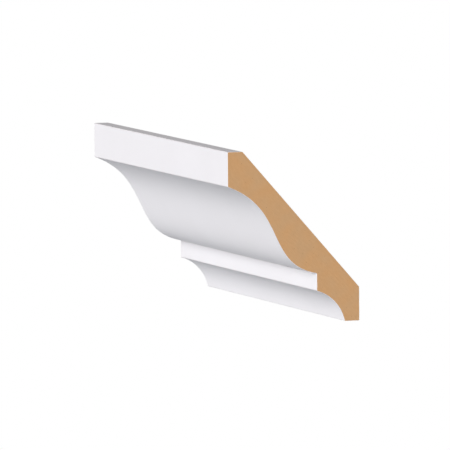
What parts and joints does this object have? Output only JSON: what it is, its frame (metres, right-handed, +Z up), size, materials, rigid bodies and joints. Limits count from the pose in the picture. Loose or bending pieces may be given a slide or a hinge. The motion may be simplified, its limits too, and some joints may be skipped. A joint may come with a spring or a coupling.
{
  "type": "crown moulding",
  "caption": "Square-cut length of white-primed MDF crown moulding: upright fascia, ogee, fillet and small cove, with a slanting back between its wall and ceiling flats.",
  "frame": {"origin": "middle of the flat bed that lies on the wall, halfway along the run", "axes": "+Z up; +Y into the wall, square to the wall bed; +X along the run"},
  "size_m": [0.23, 0.0715, 0.09],
  "materials": {
    "primed_mdf": "matt white primer on the moulded face and the beds; the sawn ends and the slanting back are bare tan MDF"
  },
  "bodies": {
    "root": {"crown_moulding": "primed_mdf"}
  },
  "joints": []
}
